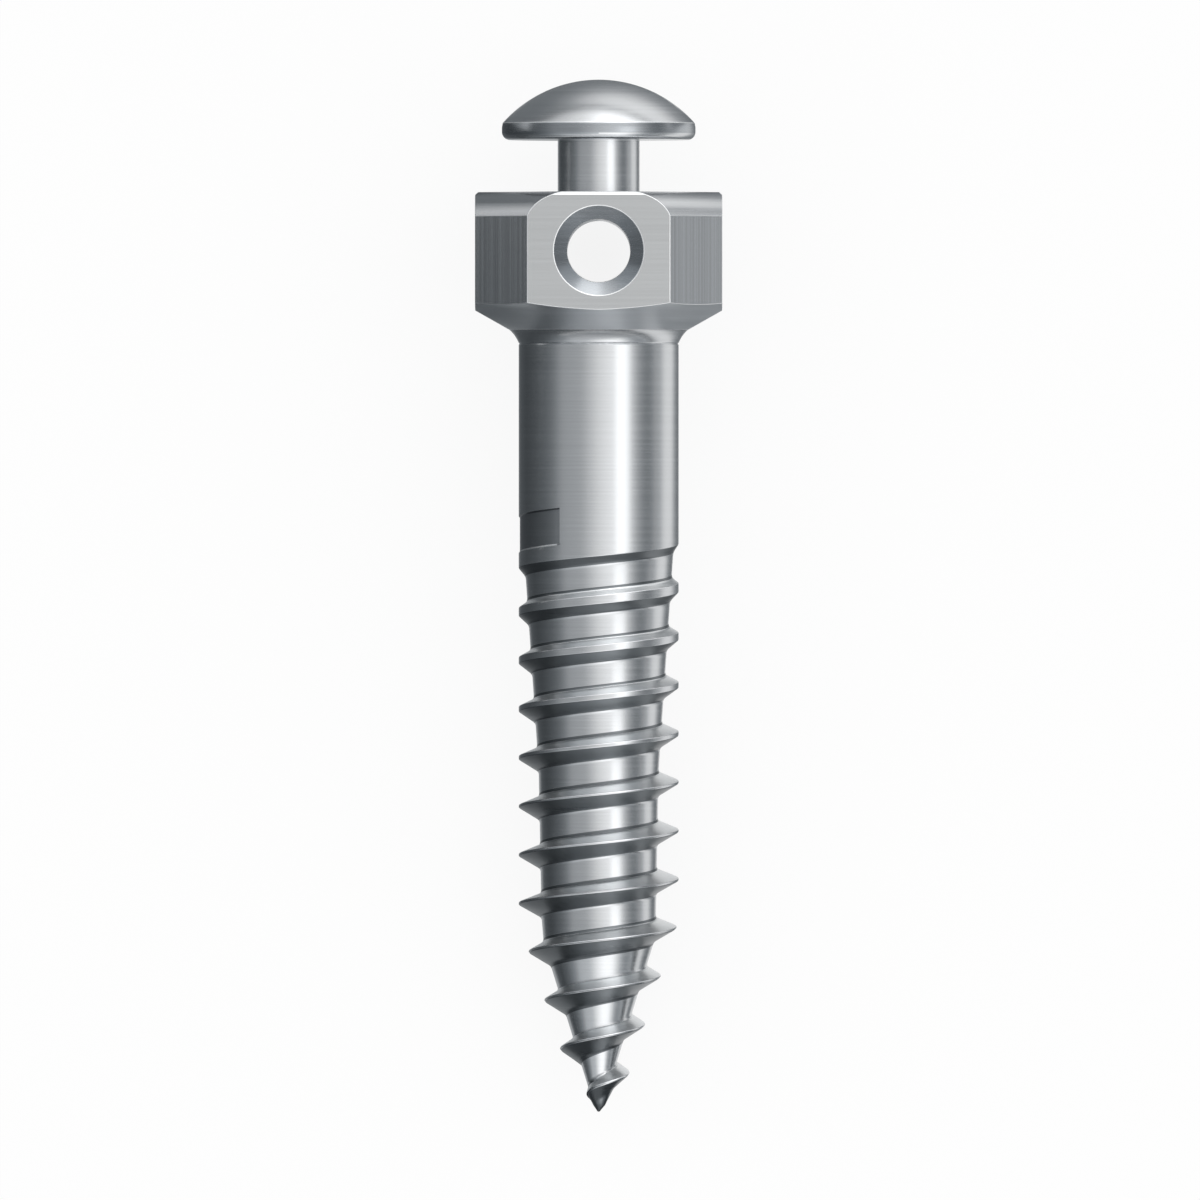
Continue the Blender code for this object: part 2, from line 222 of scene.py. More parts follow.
@dataclass(frozen=True)
class TitaniumFinish:
    """A finish of titanium alloy: its colour, gloss and tool marks."""

    name: str
    colour: str
    roughness: float
    spacing: float
    length: float
    depth: float
    grain: Grain = Grain.ROUND_THE_AXIS
    roughness_spread: float = 0.03
    streaks: float = 0.04

    def material(self, tilt: float) -> Material:
        """Build the material.

        Args:
            tilt: How far the screw's axis dips, in radians, so that the marks follow it.

        Returns:
            The material.
        """
        material = bpy.data.materials.new(self.name)
        material.use_nodes = True
        tree = material.node_tree
        shader = tree.nodes["Principled BSDF"]
        shader.inputs["Metallic"].default_value = 1.0
        fine = 1 / self.spacing
        coarse = 1 / self.length
        scale = (coarse, fine, coarse)
        if self.grain is Grain.ALONG_THE_AXIS:
            scale = (fine, coarse, fine)
        place = add_node(tree, "ShaderNodeTexCoord")
        along = {"Vector": place.outputs["Object"], "Rotation": (-tilt, 0, 0)}
        lined = add_node(tree, "ShaderNodeMapping", inputs=along)
        drawn = {"Vector": lined.outputs["Vector"], "Scale": scale}
        stretched = add_node(tree, "ShaderNodeMapping", inputs=drawn)
        noise = {"Scale": 1.0, "Detail": 3.0, "Roughness": 0.6}
        noise["Vector"] = stretched.outputs["Vector"]
        marks = add_node(tree, "ShaderNodeTexNoise", inputs=noise)
        gloss = self.varied(tree, marks, self.roughness, self.roughness_spread)
        shade = self.varied(tree, marks, 1.0, self.streaks)
        cuts = {"Height": marks.outputs["Fac"], "Strength": 1.0, "Distance": self.depth}
        relief = add_node(tree, "ShaderNodeBump", inputs=cuts)
        toned = {"Vector": linear(self.colour)[:3], "Scale": shade}
        tone = add_node(tree, "ShaderNodeVectorMath", {"operation": "SCALE"}, toned)
        tree.links.new(tone.outputs["Vector"], shader.inputs["Base Color"])
        tree.links.new(gloss, shader.inputs["Roughness"])
        tree.links.new(relief.outputs["Normal"], shader.inputs["Normal"])
        return material

    def varied(self, tree: NodeTree, marks: Node, middle: float, reach: float) -> NodeSocket:
        """Add a value that swings round its middle with the tool marks.

        Args:
            tree: The material's node tree.
            marks: The noise that draws the marks.
            middle: The middle value.
            reach: How far the value goes to each side.

        Returns:
            The value's output.
        """
        span = {"Value": marks.outputs["Fac"], "From Min": 0.3, "From Max": 0.7}
        span |= {"To Min": middle - reach, "To Max": middle + reach}
        return add_node(tree, "ShaderNodeMapRange", inputs=span).outputs["Result"]


# Turned and polished titanium: near mirror bright, with very fine rings left by the tool
TURNED = TitaniumFinish(
    "turned_titanium", "d2d4d6", 0.235, spacing=0.02 * MM, length=2.0 * MM, depth=0.00012 * MM
)

# Flats milled across the head, brushed: a soft sheen with lines across the screw
BRUSHED_ACROSS = TitaniumFinish(
    "brushed_titanium_flats", "bec0c1", 0.22, spacing=0.03 * MM, length=6.0 * MM,
    depth=0.0002 * MM, streaks=0.045,
)

# Cones under the head, turned but not polished: satin, so that they show no clear reflections
# Its colour is a little lighter than the turned faces': painted light on cones that face down.
LIGHTENED_SATIN = TitaniumFinish(
    "satin_titanium_painted_light", "dcdfe2", 0.36, spacing=0.03 * MM, length=2.0 * MM, depth=0.0002 * MM
)

# Flanks that face the tip, the lines at the thread's root, the pocket's walls and the point:
# left matt by the cutter, and painted a dull dark grey: painted shade where these faces lie in
# shadow
PAINTED_SHADE_CUT = TitaniumFinish(
    "cut_titanium_painted_shade", "787c7f", 0.30, spacing=0.02 * MM, length=1.0 * MM, depth=0.0002 * MM
)

# Flanks of the thread that face the head: painted light, a bright colour for the light that falls
# on them, with a soft sheen
PAINTED_LIGHT_FLANKS = TitaniumFinish(
    "titanium_flanks_painted_light", "eceeef", 0.34, spacing=0.02 * MM, length=1.0 * MM,
    depth=0.0001 * MM,
)

# Countersinks and the button's rim: painted shade, a colour darker than the polished faces for the
# shade in the countersinks and on the rim
PAINTED_SHADE_TOOLED = TitaniumFinish(
    "tooled_titanium_painted_shade", "b0b4b8", 0.26, spacing=0.02 * MM, length=0.5 * MM, depth=0.0001 * MM
)

# Floor of the pocket, milled and left satin, painted a little darker than the shank round it:
# painted shade in the recess
PAINTED_SHADE_POCKET = TitaniumFinish(
    "pocket_floor_painted_shade", "a6a9ac", 0.32, spacing=0.02 * MM, length=1.0 * MM, depth=0.0002 * MM
)

# Eased edges: a near white colour, painted highlights that draw thin light lines
EDGES = TitaniumFinish(
    "titanium_edges_painted_highlight", "f4f5f6", 0.40, spacing=0.05 * MM, length=0.5 * MM,
    depth=0.0001 * MM, roughness_spread=0.0,
)

# Corner flats brushed the other way: the lines run along the screw
BRUSHED_ALONG = TitaniumFinish(
    "brushed_titanium_corners", "d2d4d6", 0.20, spacing=0.022 * MM, length=20.0 * MM,
    depth=0.0002 * MM, grain=Grain.ALONG_THE_AXIS, streaks=0.13,
)

# The screw's material slots, in their order
FINISHES = (TURNED, BRUSHED_ACROSS, BRUSHED_ALONG, LIGHTENED_SATIN, EDGES, PAINTED_SHADE_CUT, PAINTED_LIGHT_FLANKS, PAINTED_SHADE_POCKET, PAINTED_SHADE_TOOLED)


@dataclass
class Thread:
    """The right-hand thread: its form, its tapering core and its run-out on the point."""

    shank_radius: float = 0.80 * MM
    length: float = 7.835 * MM
    start: float = 2.211 * MM
    pitch: float = 0.486 * MM
    floor_width: float = 0.255 * MM
    first_land: float = 0.10 * MM
    full_land: float = 0.022 * MM
    land_narrowing: float = 2.39 * MM
    lower_flank_share: float = 0.6
    root_round: float = 0.03 * MM
    edge_round: float = 0.009 * MM
    core_start_radius: float = 0.7475 * MM
    core_middle_radius: float = 0.60 * MM
    core_full_radius: float = 0.568 * MM
    core_taper: float = 2.19 * MM
    core_tip_taper: float = 1.765 * MM
    core_tip_radius: float = 0.12 * MM
    core_tip_height: float = 0.315 * MM
    crest_taper: float = 1.935 * MM
    crest_tip_radius: float = 0.295 * MM
    crest_tip_height: float = 0.375 * MM
    run_out_height: float = 0.157 * MM
    point_slope: float = 0.60
    point_end_radius: float = 0.018 * MM
    point_collar: float = 0.085 * MM
    point_flattening: float = 0.7
    point_zone: float = 0.2 * MM
    fade_end: float = -0.65
    full_depth: float = -0.30
    closing_turn: float = 0.4
    pocket_wall: float = math.radians(29.2)
    pocket_end: float = math.radians(112.0)
    pocket_depth: float = 0.045 * MM
    pocket_height: float = 0.372 * MM
    pocket_lift: float = 0.10 * MM
    pocket_edge: float = 0.014 * MM
    pocket_half: float = 0.5
    sill_steps: tuple[float, ...] = (1.6, 1.2, 1.1, -0.1)
    sill_fall: float = 0.7
    sill_share: float = 0.9
    band_turns: float = 0.92
    spare_turns: int = 3
    around: int = 160
    rows: int = 12

    @property
    def tip_z(self) -> float:
        """Height of the cutting point's sharp end."""
        return -self.length

    @property
    def top_z(self) -> float:
        """Height where the threaded tube meets the plain shank."""
        return -self.start + self.band_turns * self.pitch + self.pocket_lift

    def point_radius(self, z: float) -> float:
        """Radius of the cutting point's cone at height z."""
        return max(self.point_slope * (z - self.tip_z), self.point_end_radius)

    def core_radius(self, z: float) -> float:
        """Radius of the groove floor at height z."""
        middle = (-self.start - self.core_taper, self.core_middle_radius)
        full = (self.tip_z + self.core_tip_taper, self.core_full_radius)
        tip = (self.tip_z + self.core_tip_height, self.core_tip_radius)
        if z > -self.start:
            return self.core_start_radius
        if z > middle[0]:
            return between(z, (-self.start, self.core_start_radius), middle)
        if z > full[0]:
            return between(z, middle, full)
        return max(between(z, full, tip), self.point_end_radius)

    def crest_radius(self, z: float) -> float:
        """Radius of the crest at height z."""
        full = (self.tip_z + self.crest_taper, self.shank_radius)
        tip = (self.tip_z + self.crest_tip_height, self.crest_tip_radius)
        run_out_z = self.tip_z + self.run_out_height
        if z > full[0]:
            return self.shank_radius
        if z > tip[0]:
            return between(z, full, tip)
        if z > run_out_z:
            return between(z, tip, (run_out_z, self.point_radius(run_out_z)))
        return self.point_radius(z)

    def crest_height(self, turns: float) -> float:
        """Height of the crest after this many turns from the thread's start."""
        return -self.start - self.pitch * turns

    def land(self, z: float) -> float:
        """Width of the crest's flat top at height z."""
        share = clamped((-self.start - z) / self.land_narrowing)
        return self.first_land - share * (self.first_land - self.full_land)

    def floor_radius(self, turns: float, z: float) -> float:
        """Radius of the groove floor under the crest at these turns.

        Args:
            turns: Turns from the thread's start to the crest above the groove.
            z: Height of the point on the floor.

        Returns:
            The radius, which rises to the crest where the groove starts and to the cone
            of the cutting point where it ends.
        """
        run_out = (self.length - self.run_out_height - self.start) / self.pitch
        closing = smooth_step((turns + 1 - run_out) / self.closing_turn)
        floor = self.core_radius(z) + closing * (self.point_radius(z) - self.core_radius(z))
        fade = (turns - self.fade_end) / (self.full_depth - self.fade_end)
        return self.crest_radius(z) + smooth_step(fade) * (floor - self.crest_radius(z))

    def form(self, turns: float) -> list[Vector]:
        """The thread form from one crest down to the next.

        Args:
            turns: Turns from the thread's start to the upper crest.

        Returns:
            Points (radius, z), three round each of the four corners of the groove.
        """
        upper = self.crest_height(turns) - self.land(self.crest_height(turns)) / 2
        lower = self.crest_height(turns + 1) + self.land(self.crest_height(turns + 1)) / 2
        flanks = upper - lower - self.floor_width
        root = upper - flanks * self.lower_flank_share
        heel = root - self.floor_width
        corners = [
            Vector((self.crest_radius(upper), upper)),
            Vector((self.floor_radius(turns, root), root)),
            Vector((self.floor_radius(turns, heel), heel)),
            Vector((self.crest_radius(lower), lower)),
        ]
        before = Vector((corners[0].x, upper + self.full_land))
        after = Vector((corners[3].x, lower - self.full_land))
        line = [before, *corners, after]
        points = []
        for number in range(1, 5):
            reach = self.edge_round if number in (1, 4) else self.root_round
            corner = line[number]
            start = corner + (line[number - 1] - corner).normalized() * reach
            end = corner + (line[number + 1] - corner).normalized() * reach
            points += [start, (start + 2 * corner + end) / 4, end]
        return points

    def pocket_form(self, angle: float) -> list[Vector]:
        """The plain band above the thread's start, with the pocket's edges and floor.

        Args:
            angle: The angle round the axis from the front.

        Returns:
            Points (radius, z), as many as the thread form has.
        """
        turns = angle / math.tau
        foot = self.crest_height(turns) + self.pocket_lift
        head = foot + self.pocket_height
        share = (angle - self.pocket_wall) / (self.pocket_end - self.pocket_wall)
        deep = self.pocket_depth * (1 - share) if 0 < share < 1 else 0.0
        floor = self.shank_radius - deep
        edge = self.pocket_edge
        top_radii = [self.shank_radius, self.shank_radius, floor, floor]
        top = [head + edge / 2, head, head - edge, head - 1.5 * edge]
        middle = [foot + (head - foot) * part / 5 for part in (4, 3, 2, 1)]
        bottom = [foot + step * edge for step in self.sill_steps]
        points = [Vector(pair) for pair in zip(top_radii, top)]
        points += [Vector((floor, z)) for z in middle]
        lip = self.shank_radius - min(self.sill_fall * edge, self.sill_share * deep)
        bottom_radii = [floor, floor, lip, self.shank_radius]
        points += [Vector(pair) for pair in zip(bottom_radii, bottom)]
        return points

    def place(self, vert: BMVert, forms: dict[float, list[Vector]]) -> None:
        """Move one point of the plain helical tube to its place on the thread form.

        Args:
            vert: The point.
            forms: The forms worked out so far, by turns.
        """
        angle = math.atan2(-vert.co.x, -vert.co.y) % math.tau
        column = round(angle / math.tau * self.around) % self.around
        share = column / self.around
        down = (-self.start - vert.co.z) / self.pitch - share
        number = round(down * self.rows)
        turns = number // self.rows + share
        row = number % self.rows
        if number // self.rows == -1 and share < self.pocket_half:
            self.place_by_pocket(vert, column, row)
            return
        if turns not in forms:
            forms[turns] = self.form(turns)
        self.put(vert, share * math.tau, forms[turns][row])

    def place_by_pocket(self, vert: BMVert, column: int, row: int) -> None:
        """Move a point of the band that holds the pocket.

        Args:
            vert: The point.
            column: Its column round the axis.
            row: Its row in the band.
        """
        step = math.tau / self.around
        angle = column * step
        wall_column = round(self.pocket_wall / step)
        if column == wall_column:
            angle = self.pocket_wall
        elif column == wall_column + 1 and 2 <= row <= self.rows - 3:
            angle = self.pocket_wall + self.pocket_edge / self.shank_radius
        self.put(vert, angle, self.pocket_form(angle)[row])

    def put(self, vert: BMVert, angle: float, point: Vector) -> None:
        """Put a vertex at an angle round the axis and at a (radius, z) point."""
        vert.co = Matrix.Rotation(-angle, 3, "Z") @ Vector((0, -point.x, point.y))

    def tube(self) -> BMesh:
        """The threaded tube, open at its top, with its cutting point closed."""
        turns = math.ceil((self.length - self.start) / self.pitch) + self.spare_turns
        drop = self.pitch / self.rows
        top = self.crest_height(-self.spare_turns)
        line = [(0, -self.shank_radius, top - drop * row) for row in range(self.rows + 1)]
        sink = (0, 0, -self.pitch / self.around)
        steps = self.around * turns
        bm = swept(line, (0, 0, -1), steps, angle=math.tau * turns, dvec=sink)
        bmesh.ops.remove_doubles(bm, verts=bm.verts[:], dist=drop / 10)
        forms: dict[float, list[Vector]] = {}
        for vert in bm.verts:
            self.place(vert, forms)
        self.trim(bm, self.top_z, 1)
        self.trim(bm, self.tip_z + self.point_collar, -1)
        self.close_point(bm)
        return bm

    def trim(self, bm: BMesh, z: float, side: int) -> None:
        """Cut away everything above (side 1) or below (side -1) height z."""
        whole = bm.verts[:] + bm.edges[:] + bm.faces[:]
        bmesh.ops.bisect_plane(
            bm, geom=whole, plane_co=(0, 0, z), plane_no=(0, 0, side), clear_outer=True
        )

    def close_point(self, bm: BMesh) -> None:
        """Draw the lower ring in to a small round end."""
        radius = self.point_end_radius
        shoulder = self.tip_z + radius / self.point_slope
        rounds = [(1.0, 0.0), (0.86, 0.45), (0.5, 0.8)]
        height = self.tip_z + self.point_collar
        for share, drop in rounds:
            ring = ring_at(bm, height)
            height = shoulder - drop * radius * self.point_flattening
            made = bmesh.ops.extrude_edge_only(bm, edges=ring)["geom"]
            for vert in made_verts(made):
                flat = Vector((vert.co.x, vert.co.y, 0)).normalized() * radius * share
                vert.co = flat + Vector((0, 0, height))
        made = bmesh.ops.extrude_edge_only(bm, edges=ring_at(bm, height))["geom"]
        end = Vector((0, 0, shoulder - radius * self.point_flattening))
        bmesh.ops.pointmerge(bm, verts=made_verts(made), merge_co=end)


def ring_at(bm: BMesh, z: float) -> list[BMEdge]:
    """The open edges of a mesh that lie at height z."""
    return [
        edge
        for edge in bm.edges
        if edge.is_boundary and all(abs(vert.co.z - z) < NEAR for vert in edge.verts)
    ]


@dataclass
class DriverHead:
    """The button, its neck and the square driver head with the ligature hole."""

    button_radius: float = 0.968 * MM
    dome_radius: float = 1.28 * MM
    rim_height: float = 0.17 * MM
    rim_bulge: float = 0.008 * MM
    rim_round: float = 0.08 * MM
    neck_radius: float = 0.41 * MM
    neck_length: float = 0.525 * MM
    half_width: float = 1.235 * MM
    half_corner: float = 1.3775 * MM
    height: float = 1.18 * MM
    top_chamfer: float = 0.03 * MM
    corner_round: float = 0.34 * MM
    corner_drop: float = 0.24 * MM
    hole_radius: float = 0.315 * MM
    countersink_radius: float = 0.45 * MM
    countersink_depth: float = 0.11 * MM
    hole_drop: float = 0.59 * MM
    corner_cone_slope: float = 0.33
    seat_height: float = 0.195 * MM
    seat_radius: float = 0.89 * MM
    skirt_break: float = 0.015 * MM
    collar_height: float = 0.13 * MM
    collar_round: float = 0.35 * MM
    collar_groove: float = 0.009 * MM
    groove_floor: float = 0.8
    groove_end: float = 2.0
    blank_oversize: float = 1.05
    corner_round_sink: float = 0.985
    edge_bevel: float = 0.007 * MM
    sliver: float = 0.0065 * MM
    margin: float = 0.2 * MM
    dome_steps: int = 20
    round_steps: int = 8
    corner_steps: int = 14
    hole_sides: int = 96

    @property
    def top_z(self) -> float:
        """Height of the head's flat top."""
        return self.seat_height + self.height

    @property
    def hole_z(self) -> float:
        """Height of the ligature hole's axis."""
        return self.top_z - self.hole_drop

    @property
    def corner_reach(self) -> float:
        """Distance from the axis to the edge between a flat and a corner flat."""
        flat_half_width = self.half_corner * math.sqrt(2) - self.half_width
        return math.hypot(self.half_width, flat_half_width)

    def profile(self, shank_radius: float, end_z: float) -> Points:
        """Outline of the turned blank, from the top of the button down to the shank.

        Args:
            shank_radius: Radius of the shank.
            end_z: Height where the outline ends.

        Returns:
            Points (radius, z).
        """
        under = self.top_z + self.neck_length
        dome_edge = (self.button_radius - self.rim_bulge, under + self.rim_height)
        rise = self.dome_radius - math.sqrt(self.dome_radius**2 - dome_edge[0] ** 2)
        blank = self.corner_reach * self.blank_oversize
        seat_slope = self.seat_height / (self.half_width - self.seat_radius)
        edge_z = self.seat_height + self.skirt_break * seat_slope
        edge = (self.half_width + self.skirt_break, edge_z)
        skirt = edge_z + (blank - edge[0]) * self.corner_cone_slope
        round_top = (self.button_radius, under + self.rim_round)
        round_end = (self.button_radius - self.rim_round, under)
        points = arc((0, dome_edge[1] + rise), dome_edge, self.dome_radius, self.dome_steps, -1)
        points.append((self.button_radius, (dome_edge[1] + round_top[1]) / 2))
        points += arc(round_top, round_end, self.rim_round, self.round_steps, -1)
        points += [(self.neck_radius, under), (self.neck_radius, self.top_z)]
        points += [(blank, self.top_z), (blank, skirt), edge]
        collar_end = (shank_radius, -self.collar_height)
        points += arc((self.seat_radius, 0), collar_end, self.collar_round, self.round_steps)
        groove = self.collar_groove
        floor_z = -self.collar_height - self.groove_floor * groove
        points.append((shank_radius - groove, floor_z))
        points.append((shank_radius, -self.collar_height - self.groove_end * groove))
        points.append((shank_radius, end_z))
        return points

    def blank(self, shank_radius: float, end_z: float, around: int) -> BMesh:
        """The closed turned blank of the head and the upper shank."""
        outline = [*self.profile(shank_radius, end_z), (0, end_z)]
        return turned([(0, -radius, z) for radius, z in outline], (0, 0, -1), around)

    def envelope(self, name: str, side: Points, angle: float, low: float) -> Object:
        """What milling a pair of opposite flats leaves, as a prism along one direction.

        Args:
            name: The cutter's name.
            side: Right half of its outline over the height of the head, from below up.
            angle: How far it is turned about the axis.
            low: Height of its lower end.

        Returns:
            The cutter.
        """
        reach = 2 * self.corner_reach
        lift = self.top_z + self.neck_length / 2
        high = self.top_z + 3 * self.neck_length
        right = [(side[0][0], low - self.margin), *side, (side[-1][0], lift)]
        right += [(reach, lift), (reach, high)]
        outline = right + [(-x, z) for x, z in reversed(right)]
        bm = bmesh.new()
        verts = [bm.verts.new((x, -reach, z)) for x, z in outline]
        made = bmesh.ops.extrude_face_region(bm, geom=[bm.faces.new(verts)])["geom"]
        bmesh.ops.translate(bm, verts=made_verts(made), vec=(0, 2 * reach, 0))
        bmesh.ops.rotate(bm, verts=bm.verts[:], matrix=Matrix.Rotation(angle, 3, "Z"))
        bmesh.ops.recalc_face_normals(bm, faces=bm.faces[:])
        return new_object(bm, name)

    def flat_side(self) -> Points:
        """Outline of a flat of the square, with the chamfer at its top."""
        over = self.top_chamfer / 2
        return [
            (self.half_width, self.top_z - self.top_chamfer),
            (self.half_width - self.top_chamfer - over, self.top_z + over),
        ]

    def corner_side(self) -> Points:
        """Outline of a corner flat, with the round that runs into the top of the head."""
        centre_z = self.top_z - self.corner_round * self.corner_round_sink
        start = math.asin((self.top_z - self.corner_drop - centre_z) / self.corner_round)
        centre_x = self.half_corner - self.corner_round * math.cos(start)
        outline = []
        for step in range(self.corner_steps + 1):
            angle = start + (math.pi / 2 - start) * step / self.corner_steps
            x = centre_x + self.corner_round * math.cos(angle)
            outline.append((x, centre_z + self.corner_round * math.sin(angle)))
        return outline

    def hole(self) -> Object:
        """The drill and countersink that make the ligature hole, along Y."""
        slope = (self.countersink_radius - self.hole_radius) / self.countersink_depth
        inner = self.half_width - self.countersink_depth
        outer = self.half_width + self.margin
        far = self.countersink_radius + slope * self.margin
        half = [(0, outer, 0), (far, outer, 0), (self.hole_radius, inner, 0)]
        other = [(radius, -y, 0) for radius, y, _ in reversed(half)]
        bm = turned(half + other, (0, 1, 0), self.hole_sides)
        bmesh.ops.translate(bm, verts=bm.verts[:], vec=(0, 0, self.hole_z))
        return new_object(bm, "hole_drill")

    def milled(self, shank_radius: float, end_z: float, around: int) -> BMesh:
        """The head as milled and drilled, open at the lower end of its shank.

        Args:
            shank_radius: Radius of the shank.
            end_z: Height of the lower end.
            around: How many sides a turned surface has.

        Returns:
            The mesh, with its sharp edges eased.
        """
        blank = new_object(self.blank(shank_radius, end_z, around), "head_blank")
        quarter = math.pi / 4
        cutters = [
            (self.envelope("front_flats", self.flat_side(), 2 * quarter, end_z), "INTERSECT"),
            (self.envelope("side_flats", self.flat_side(), 0, end_z), "INTERSECT"),
            (self.envelope("left_corners", self.corner_side(), quarter, end_z), "INTERSECT"),
            (self.envelope("right_corners", self.corner_side(), -quarter, end_z), "INTERSECT"),
            (self.hole(), "DIFFERENCE"),
        ]
        for cutter, operation in cutters:
            modifier = blank.modifiers.new(cutter.name, "BOOLEAN")
            modifier.operation = operation
            modifier.object = cutter
        graph = bpy.context.evaluated_depsgraph_get()
        bm = bmesh.new()
        bm.from_object(blank, graph)
        for item in [blank, *(cutter for cutter, _ in cutters)]:
            bpy.data.objects.remove(item, do_unlink=True)
        zone = [vert for vert in bm.verts if 0 < vert.co.z < self.top_z + self.top_chamfer]
        bmesh.ops.remove_doubles(bm, verts=zone, dist=self.sliver)
        self.open_end(bm, end_z)
        self.ease_edges(bm)
        return bm

    def open_end(self, bm: BMesh, end_z: float) -> None:
        """Remove the cap at the lower end of the shank."""
        cap = [f for f in bm.faces if all(abs(v.co.z - end_z) < NEAR for v in f.verts)]
        bmesh.ops.delete(bm, geom=cap, context="FACES")

    def ease_edges(self, bm: BMesh) -> None:
        """Join coplanar faces, then bevel the sharp edges so that they catch the light, and give
        the bevels a painted highlight.
        """
        bmesh.ops.dissolve_limit(bm, angle_limit=COPLANAR, verts=bm.verts[:], edges=bm.edges[:])
        sharp = [
            edge
            for edge in bm.edges
            if len(edge.link_faces) == 2 and edge.calc_face_angle(0.0) > SHARP_EDGE
        ]
        made = bmesh.ops.bevel(
            bm, geom=sharp, offset=self.edge_bevel, offset_type="OFFSET", affect="EDGES",
            segments=2, profile=0.5, clamp_overlap=True, material=-1,
        )
        # The bevels get the near white edge colour: a painted highlight.
        for face in made["faces"]:
            face.material_index = FINISHES.index(EDGES)


@dataclass
class Placement:
    """Where the screw lies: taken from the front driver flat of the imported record."""

    turn: Matrix
    tilt: float

    @classmethod
    def from_record(cls, head: DriverHead) -> "Placement":
        """Work out the placement from the record's front driver flat.

        Args:
            head: The head, whose front flat is matched to the record's.

        Returns:
            The placement.
        """
        flats = {mount["name"]: mount for mount in frame["record"]["mounts"]}
        flat = flats["driver_flat_front"]
        tilt = math.atan2(-flat["axis"][1], flat["axis"][2])
        turn = Matrix.Rotation(tilt - math.pi / 2, 4, "X")
        local = Vector((flat["pos_m"][0], -head.half_width, head.hole_z))
        move = Vector(flat["pos_m"]) - turn @ local
        return cls(Matrix.Translation(move) @ turn, tilt)


class Facing:
    """Shares of a face's normal that tell the kinds of face apart.

    They lie along the axis, and for the pocket's side wall round it.
    """

    UPRIGHT = 0.02
    UNDER_HEAD = -0.3
    POCKET_LOWER_EDGE = 0.3
    POCKET_UPPER_WALL = -0.5
    POCKET_SIDE_WALL = 0.5
    TOWARDS_HEAD = 0.42
    TOWARDS_TIP = -0.42
    ROOT_LINE = (0.1, 0.35)


